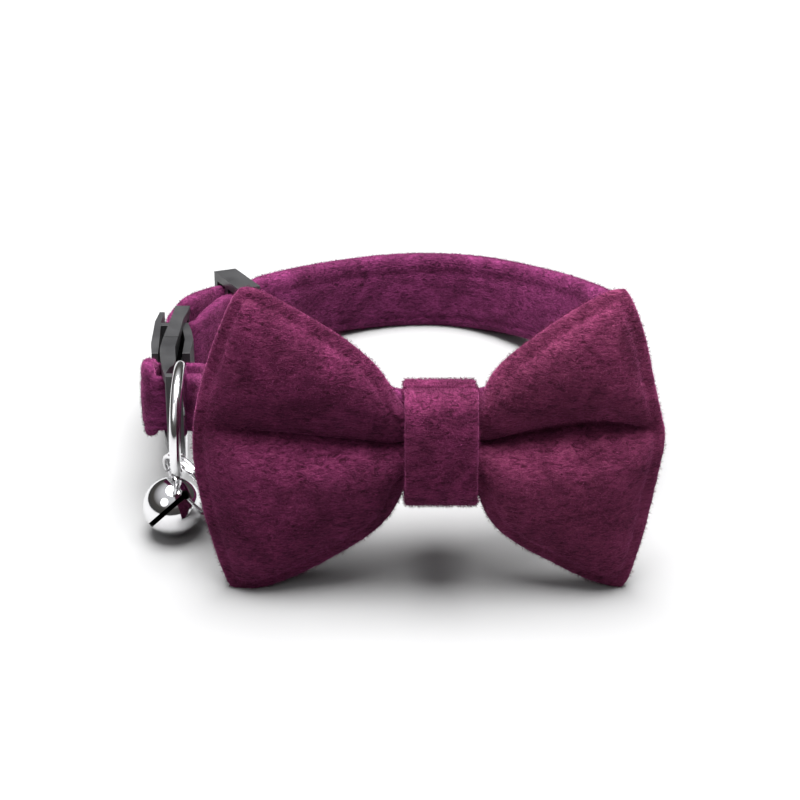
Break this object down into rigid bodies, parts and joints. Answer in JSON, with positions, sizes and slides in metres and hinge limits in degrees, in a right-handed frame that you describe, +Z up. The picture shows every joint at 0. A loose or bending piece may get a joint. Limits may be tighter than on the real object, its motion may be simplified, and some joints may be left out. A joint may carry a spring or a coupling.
{
  "type": "pet bow tie collar",
  "caption": "Padded velvet cat collar as a buckled loop, with a slider, a breakaway buckle, a D-ring, a split ring, a jingle bell and a padded velvet bow tie on a knot band.",
  "frame": {"origin": "under the middle of the whole collar, on the surface that it rests on", "axes": "+Z up from the surface, -Y the way the bow faces, +X to the bow's right as seen from its front"},
  "size_m": [0.0926, 0.0992, 0.0528],
  "materials": {
    "strap_velvet": "short pile velvet, plum",
    "bow_velvet": "short pile velvet, plum, over padding",
    "knot_velvet": "short pile velvet, plum, gathered",
    "black_plastic": "satin black moulded",
    "bright_wire": "bright plated wire",
    "bell_metal": "bright plated sheet"
  },
  "bodies": {
    "root": {"strap": "strap_velvet", "bow": "bow_velvet", "bow_knot": "knot_velvet", "slider": "black_plastic", "buckle_female": "black_plastic", "buckle_male": "black_plastic", "d_ring": "bright_wire", "split_ring": "bright_wire", "bell": "bell_metal", "bell_pellet": "bell_metal"}
  },
  "joints": []
}
